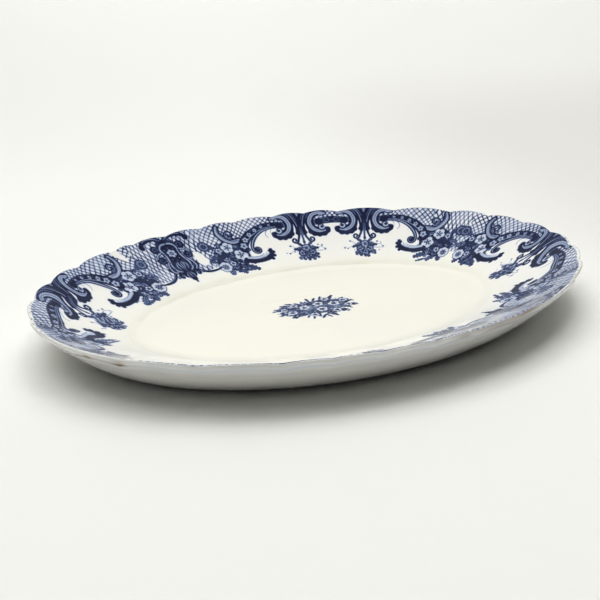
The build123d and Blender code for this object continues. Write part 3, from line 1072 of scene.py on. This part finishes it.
def make_glaze(context):
    """The glaze: a closed shell over the face, round the lip and down to the foot."""
    shape = shape_of(context)
    s = shape.s
    along = np.linspace(0, shape.edge, GLAZE_COLUMNS, endpoint=False)
    side_runs = fine_runs(s.nose, s.foot_inset - 0.0016, SIDE_STEP)[::-1]
    face_runs = fine_runs(s.nose, GLAZE_FACE_END, FACE_STEP)[1:]
    wide, low = np.ones(GLAZE_COLUMNS), np.full(GLAZE_COLUMNS, s.bare)
    # outside of the coat, from the foot over the lip to the middle
    rings, runs = [shape.place(along, wide * (s.foot_inset - 0.0006), low)], [-s.foot_inset]
    for run in side_runs:
        rings.append(shape.side(along, run))
        runs.append(-run if run > 0 else 0.0)
    for run in face_runs:
        rings.append(shape.face(along, run))
        runs.append(run)
    shares = (0.985, 0.955, 0.9, 0.8, 0.65, 0.45, 0.2)
    rings += shrunk(rings[-1], shares, s.well_z)
    runs += [s.well_inset + (1 - share) * 0.1 for share in shares]
    # underside of the coat, from the middle back to the foot; none of it lies within the lip
    under = [(ring, run) for ring, run in list(zip(rings, runs))[::-2] if abs(run) > 0.0024]
    inner = [
        moved_in(ring, s.glaze * 0.5, s.glaze * (1 if run > 0 else -0.6) * 0.8) for ring, run in under
    ]
    inner[-1][:, 2] = s.bare
    inner.append(shape.place(along, wide * (s.foot_inset - 0.0002), low))
    poles = (0, 0, s.well_z - 0.8 * s.glaze), (0, 0, s.well_z)
    piece = ringed_mesh("platter_glaze", inner + rings, *poles)
    runs = [run for ring, run in under] + [-s.foot_inset] + runs
    alongs = np.concatenate([np.tile(along, len(runs)), [0, 0]])
    every = np.concatenate([np.repeat(runs, GLAZE_COLUMNS), [s.well_inset + 0.1] * 2])
    tint(piece, shape, alongs, every)
    attach(piece, "glaze", material_for(context, "clear_glaze"), "glaze_coat")
    return piece


def make_base_glaze(context):
    """The glazed hollow inside the foot, with a wall that climbs the foot's inner side."""
    shape = shape_of(context)
    s = shape.s
    along = np.linspace(0, shape.edge, BASE_COLUMNS, endpoint=False)
    inner = s.foot_inset + s.foot_wide
    steps = (
        (inner - 0.0006, s.bare), (inner - 0.0001, s.bare), (inner + 0.0003, s.bare + 0.0008),
        (inner + 0.0012, s.recess - 0.0004), (inner + 0.0030, s.recess - 0.0001),
        (inner + 0.0060, s.recess),
    )
    zero = np.zeros(BASE_COLUMNS)
    rings = [shape.place(along, zero + inset, zero + z) for inset, z in steps]
    rings += shrunk(rings[-1], (0.9, 0.75, 0.6, 0.45, 0.3, 0.15, 0.05), s.recess)
    rings = [ring + np.array([0, 0, BASE_THICK]) for ring in rings[:1:-1]] + rings
    poles = (0, 0, s.recess), (0, 0, s.recess + BASE_THICK)
    piece = ringed_mesh("platter_base_glaze", rings[::-1], *poles)
    count = len(piece.data.vertices)
    tint(piece, shape, np.resize(along, count), np.full(count, -0.03))
    attach(piece, "glaze", material_for(context, "clear_glaze"), "base_glaze")
    return piece


FILM_LIFT = 0.00004  # how far the print lies above the glaze
TUCK = 0.0004  # how far its long edges dip below the glaze
GRID = 0.00042
BORDER_IN, BORDER_DEEP = 0.0002, 0.0655


def make_film(name, points):
    """A skin of print on the glaze. Its long edges dip below the glaze, its ends meet the next."""
    rows, columns = points.shape[:2]
    points = points.copy()
    points[..., 2] += FILM_LIFT
    points[[0, -1], :, 2] -= FILM_LIFT + TUCK
    return new_mesh(name, points.reshape(-1, 3), quads_between(rows, columns, False))


def border_inks():
    """The border's drawing and the blue haze round its dark parts."""
    sheet = Sheet(0.0, -2.0, AROUND, 70.0, True)
    draw_border(sheet)
    # engraved hatching in the middle tones
    x, y = np.arange(sheet.columns) / sheet.FINE, np.arange(sheet.rows)[:, None] / sheet.FINE
    hatch = np.sin(4.6 * y + 1.7 * np.sin(x / 2.9) + 1.3 * x)
    tones = np.clip((sheet.ink - 0.24) / 0.08, 0, 1) * np.clip((0.96 - sheet.ink) / 0.08, 0, 1)
    ink = sheet.soften(sheet.ink + 0.13 * hatch * tones, 1.0)
    haze = 0.3 * sheet.soften(np.clip((ink - 0.35) / 0.4, 0, 1), 11)
    haze += 0.5 * sheet.soften(np.clip(ink / 0.5, 0, 1), 5)
    return sheet, ink, haze


# Where the transfer is pulled askew on the rounded ends: a place on the rim, then the place of the
# flat drawing that lies there. Rows whose two places are the same pin it where it lies straight.
PULLS = (
    ((50, 36), (62, 36)), ((36, 52), (60, 47)), ((70, 8), (65, 8)), ((24, 29), (36, 26)),
    ((103, 36), (108, 35)), ((88, 45), (97, 44)), ((4, 42), (24, 43)), ((28, 16), (24, 13)),
    ((123, 37), (126, 38)), ((571, 8), (577, 8)),
    ((576, 30), (578, 30)), ((583, 52), (578, 47)), ((636, 40), (613, 43)), ((607, 30), (604, 25.5)),
    ((610, 14), (610, 13)), ((640, 22), (630, 21)), ((690, 44), (676, 46)),
    ((150, 30), (150, 30)), ((130, 6), (130, 6)), ((100, 4), (100, 4)), ((160, 55), (160, 55)),
    ((20, 2), (20, 2)), ((-60, 28), (-60, 40)), ((-60, 50), (-60, 67)), ((-40, 5), (-40, 7)),
    ((-95, 28), (-95, 41)), ((-95, 50), (-95, 67)), ((-125, 28), (-125, 40)), ((-125, 50), (-125, 65)),
    ((-10, 34), (8, 46)), ((-35, 30), (-28, 45)), ((-110, 6), (-110, 9)), ((-75, 6), (-75, 9)),
    ((-155, 30), (-155, 36)),
    ((543, 41), (543, 43)), ((530, 20), (530, 20)), ((540, 60), (540, 60)), ((740, 30), (740, 30)),
    ((660, 4), (660, 4)), ((620, 3), (620, 3)), ((545, 4), (545, 4)), ((720, 60), (720, 60)),
)


def laid(x, y):
    """Places of the flat drawing for places on the rim."""
    total = np.full(x.shape, 1e-7)
    shift_x, shift_y = np.zeros(x.shape), np.zeros(x.shape)
    for (at_x, at_y), (from_x, from_y) in PULLS:
        weight = 1 / (apart(x, at_x, AROUND) ** 2 + 1.5 * (y - at_y) ** 2 + 130) ** 2
        total += weight
        shift_x += weight * (from_x - at_x)
        shift_y += weight * (from_y - at_y)
    return x + shift_x / total, y + shift_y / total


def border_sections(shape):
    """Start and end of each film along the edge; none of them crosses a join."""
    scale = shape.edge / DRAWN_EDGE
    join = JOIN * MM * scale
    other = join + shape.edge / 2
    cuts = np.linspace(join, other, 7).tolist() + np.linspace(other, join + shape.edge, 7).tolist()[1:]
    return list(zip(cuts[:-1], cuts[1:]))


# Where the print leaves the lip bare: place along the edge, reach to each side, greatest width
BARE_LIP = ((640, 75, 2.6), (1090, 85, 3.0))
PALEST_HAZE = 480


def make_border(context):
    """The printed border, as films laid on the face one after the other."""
    shape = shape_of(context)
    material = material_for(context, "printed_glaze")
    sheet, ink, haze = border_inks()
    scale = DRAWN_EDGE / shape.edge / MM
    pieces = []
    for k, (start, end) in enumerate(border_sections(shape)):
        columns = int(round((end - start) / GRID)) + 1
        rows = int(round((BORDER_DEEP - BORDER_IN) / GRID)) + 1
        along = np.linspace(start, end, columns)
        run = np.linspace(BORDER_IN, BORDER_DEEP, rows)
        along, run = np.meshgrid(along, run)
        points = shape.face(along, run)
        piece = make_film("border_print_%02d" % (k + 1), points)
        tint(piece, shape, along.reshape(-1), run.reshape(-1))
        x = along.reshape(-1) * scale
        y = shape.inset_at(along, run).reshape(-1) / MM
        x, y = laid(x, y)
        values = sheet.read(ink, x, y)
        blur = sheet.read(haze, x, y)
        fade = 0.65 - 0.35 * np.cos((x - PALEST_HAZE) / AROUND * 2 * math.pi)
        fade *= np.clip((65 - y) / 5, 0, 1)
        bare = sum(
            wide * np.clip(1 - (apart(x, at, AROUND) / reach) ** 2, 0, 1) ** 0.5
            for at, reach, wide in BARE_LIP
        )
        shown = np.clip((run.reshape(-1) / MM - bare) / 0.6 + 0.5, 0, 1)
        values, blur = values * shown, blur * shown
        set_values(piece, "ink", values)
        set_values(piece, "haze", np.clip(blur, 0, 0.6) * fade)
        attach(piece, "cobalt", material)
        pieces.append(piece)
    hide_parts("border_print_front")
    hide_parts("border_print_back")
    return pieces


def make_spray(context):
    """The bouquet printed in the middle of the well."""
    shape = shape_of(context)
    sheet = Sheet(-40.0, -30.0, 80.0, 60.0, False)
    draw_spray(Pen(sheet), seed=7)
    ink = sheet.soften(sheet.ink, 1.0)
    haze = sheet.soften(np.clip(ink, 0, 1), 9)
    x, y = np.meshgrid(np.arange(-36, 36.01, 0.42), np.arange(26, -26.01, -0.42))
    points = np.stack([x * MM, y * MM, np.full_like(x, shape.s.well_z)], -1)
    piece = make_film("spray_print", points)
    flat = np.full(x.size, shape.s.well_inset + 0.1)
    tint(piece, shape, np.zeros(x.size), flat)
    set_values(piece, "ink", sheet.read(ink, x.reshape(-1), y.reshape(-1)))
    set_values(piece, "haze", np.clip(0.3 * sheet.read(haze, x.reshape(-1), y.reshape(-1)), 0, 1))
    attach(piece, "cobalt", material_for(context, "printed_glaze"), "centre_print")
    return piece


# ---------------------------------------------------------------------------------------------
# Stage
# ---------------------------------------------------------------------------------------------


def add_light(name, size, place, aim, power, colour):
    data = bpy.data.lights.new(name, "AREA")
    data.shape, data.size, data.size_y = "RECTANGLE", size[0], size[1]
    data.energy, data.color = power, colour
    lamp = bpy.data.objects.new(name, data)
    bpy.context.scene.collection.objects.link(lamp)
    lamp.location = place
    way = mathutils.Vector(aim) - mathutils.Vector(place)
    lamp.rotation_euler = way.to_track_quat("-Z", "Y").to_euler()
    return lamp


def paper_material(name):
    material = bpy.data.materials.new(name)
    nodes, links, output = graph(material)
    shader = nodes.new("ShaderNodeBsdfPrincipled")
    shader.inputs["Roughness"].default_value = 0.9
    shader.inputs["Specular IOR Level"].default_value = 0.1
    shader.inputs["Emission Color"].default_value = (1.0, 1.0, 0.97, 1)
    place = nodes.new("ShaderNodeTexCoord")
    parts = nodes.new("ShaderNodeSeparateXYZ")
    links.new(place.outputs["Object"], parts.inputs[0])
    glow = stepped(nodes, links, parts.outputs["Z"], 0.0, 0.3, 0.0, 0.14)
    links.new(glow, shader.inputs["Emission Strength"])
    side = stepped(nodes, links, parts.outputs["X"], 0.1, 0.45, 0.0, 0.36)
    low = stepped(nodes, links, parts.outputs["Z"], 0.0, 0.08, 1.0, 0.15)
    # painted shade: the floor and the backdrop are darker on the right, most where they are low
    painted_shade = combined(nodes, links, "MULTIPLY", side, low)
    paper = mixed(nodes, links, painted_shade, (0.87, 0.87, 0.84), (0.5, 0.46, 0.44))
    links.new(paper, shader.inputs["Base Color"])
    links.new(shader.outputs["BSDF"], output.inputs["Surface"])
    return material


# Half width of the floor, where it begins to sweep up, the radius of that bend, and its top
FLOOR_HALF, SWEEP_AT, SWEEP_BEND, SWEEP_TOP = 3.4, 0.45, 1.1, 3.6
FLOOR_FRONT, FLOOR_TURN = -3.0, -20.1
CAMERA_TURN, CAMERA_RISE, CAMERA_ROLL = -20.106, 22.022, -2.518
CAMERA_BACK, CAMERA_LENS, CAMERA_SHIFT = 0.6838, 55.26, (-0.02898, 0.02513)


def make_stage(context):
    """Pale floor that sweeps up behind the platter, soft lights, the sky and the camera."""
    scene = context.scene
    # floor, and the sweep behind it, which glows a little like a lit backdrop
    bend = [(SWEEP_AT, 0.0)]
    for k in range(1, 31):
        a = math.pi / 2 * k / 30
        bend.append((SWEEP_AT + SWEEP_BEND * math.sin(a), SWEEP_BEND - SWEEP_BEND * math.cos(a)))
    bend.append((SWEEP_AT + SWEEP_BEND, SWEEP_TOP))
    turn = math.radians(FLOOR_TURN)
    grounds = []
    for name, profile in (("stage_floor", [(FLOOR_FRONT, 0.0), bend[0]]), ("stage_sweep", bend)):
        verts = []
        for y, z in profile:
            for x in (-FLOOR_HALF, FLOOR_HALF):
                flat = (x * math.cos(turn) - y * math.sin(turn), x * math.sin(turn) + y * math.cos(turn))
                verts.append((*flat, z - 0.0001))
        quads = [(2 * k, 2 * k + 1, 2 * k + 3, 2 * k + 2) for k in range(len(profile) - 1)]
        ground = new_mesh(name, verts, quads)
        ground.data.materials.append(paper_material(name + "_paper"))
        grounds.append(ground)
    grounds[1].visible_glossy = False
    key = add_light("stage_key", (2.8, 2.0), (-0.06, 0.22, 2.1), (0.0, 0.1, 0.0), 53.0, (1.0, 1.0, 0.985))
    key.visible_glossy = False
    glint = add_light("stage_glint", (0.3, 0.16), (0.3, -0.15, 1.5), (0, 0, 0), 1.2, (1.0, 1.0, 1.0))
    # sky: bright low behind the platter, dim above and in front
    world = bpy.data.worlds.new("stage_sky")
    scene.world = world
    world.use_nodes = True
    nodes, links = world.node_tree.nodes, world.node_tree.links
    place = nodes.new("ShaderNodeTexCoord")
    parts = nodes.new("ShaderNodeSeparateXYZ")
    links.new(place.outputs["Generated"], parts.inputs[0])
    behind = stepped(nodes, links, parts.outputs["Y"], -0.6, 1.0, 0.03, 0.3)
    nodes["Background"].inputs["Color"].default_value = (0.95, 0.97, 1.0, 1)
    links.new(behind, nodes["Background"].inputs["Strength"])
    scene.view_settings.view_transform = "Standard"
    # camera
    turn, rise, roll = map(math.radians, (CAMERA_TURN, CAMERA_RISE, CAMERA_ROLL))
    level = math.cos(rise)
    back = mathutils.Vector((math.sin(turn) * level, -math.cos(turn) * level, math.sin(rise)))
    right = (-back).cross(mathutils.Vector((0, 0, 1))).normalized()
    up = right.cross(-back)
    across = math.cos(roll) * right + math.sin(roll) * up
    upright = -math.sin(roll) * right + math.cos(roll) * up
    data = bpy.data.cameras.new("stage_camera")
    data.sensor_width, data.lens = 36.0, CAMERA_LENS
    data.shift_x, data.shift_y = CAMERA_SHIFT
    data.dof.use_dof = False
    camera = bpy.data.objects.new("stage_camera", data)
    scene.collection.objects.link(camera)
    basis = mathutils.Matrix((across, upright, back)).transposed().to_4x4()
    basis.translation = back * CAMERA_BACK
    camera.matrix_world = basis
    scene.camera = camera
    return grounds


# ---------------------------------------------------------------------------------------------
# Operators and panel
# ---------------------------------------------------------------------------------------------


class PieceOperator:
    """Shared by the operators that make a piece of the platter."""

    bl_options = {"REGISTER", "UNDO"}

    def execute(self, context):
        type(self).make(context)
        return {"FINISHED"}


class PLATTER_OT_clay(PieceOperator, bpy.types.Operator):
    """Make the clay body with its foot"""

    bl_idname, bl_label = "platter.clay", "Clay body"
    make = staticmethod(make_clay)


class PLATTER_OT_glaze(PieceOperator, bpy.types.Operator):
    """Make the glaze over the face, the lip and the side"""

    bl_idname, bl_label = "platter.glaze", "Glaze"
    make = staticmethod(make_glaze)


class PLATTER_OT_base(PieceOperator, bpy.types.Operator):
    """Make the glaze inside the foot"""

    bl_idname, bl_label = "platter.base_glaze", "Base glaze"
    make = staticmethod(make_base_glaze)


class PLATTER_OT_border(PieceOperator, bpy.types.Operator):
    """Draw the border and lay it on the rim"""

    bl_idname, bl_label = "platter.border", "Border print"
    make = staticmethod(make_border)


class PLATTER_OT_spray(PieceOperator, bpy.types.Operator):
    """Draw the bouquet in the middle of the well"""

    bl_idname, bl_label = "platter.spray", "Centre print"
    make = staticmethod(make_spray)


class PLATTER_OT_stage(PieceOperator, bpy.types.Operator):
    """Make the floor, the lights and the camera"""

    bl_idname, bl_label = "platter.stage", "Stage"
    make = staticmethod(make_stage)


class PLATTER_PT_panel(bpy.types.Panel):
    bl_idname, bl_label = "PLATTER_PT_panel", "Printed oval platter"
    bl_space_type, bl_region_type, bl_category = "VIEW_3D", "UI", "Platter"

    def draw(self, context):
        column = self.layout.column(align=True)
        for operator in OPERATORS:
            column.operator(operator.bl_idname)
        scene = context.scene
        for title, group in (("Sizes", scene.platter_sizes), ("Colours", scene.platter_colours)):
            box = self.layout.box()
            box.label(text=title)
            for name in group.__annotations__:
                box.prop(group, name)


OPERATORS = (
    PLATTER_OT_clay, PLATTER_OT_glaze, PLATTER_OT_base, PLATTER_OT_border, PLATTER_OT_spray,
    PLATTER_OT_stage,
)
CLASSES = (PlatterSizes, PlatterColours) + OPERATORS + (PLATTER_PT_panel,)


def register():
    for cls in CLASSES:
        bpy.utils.register_class(cls)
    bpy.types.Scene.platter_sizes = bpy.props.PointerProperty(type=PlatterSizes)
    bpy.types.Scene.platter_colours = bpy.props.PointerProperty(type=PlatterColours)


def unregister():
    del bpy.types.Scene.platter_colours
    del bpy.types.Scene.platter_sizes
    for cls in reversed(CLASSES):
        bpy.utils.unregister_class(cls)


def main():
    register()
    bpy.ops.platter.clay()
    bpy.ops.platter.glaze()
    bpy.ops.platter.base_glaze()
    bpy.ops.platter.border()
    bpy.ops.platter.spray()
    bpy.ops.platter.stage()


if __name__ == "__main__":
    main()
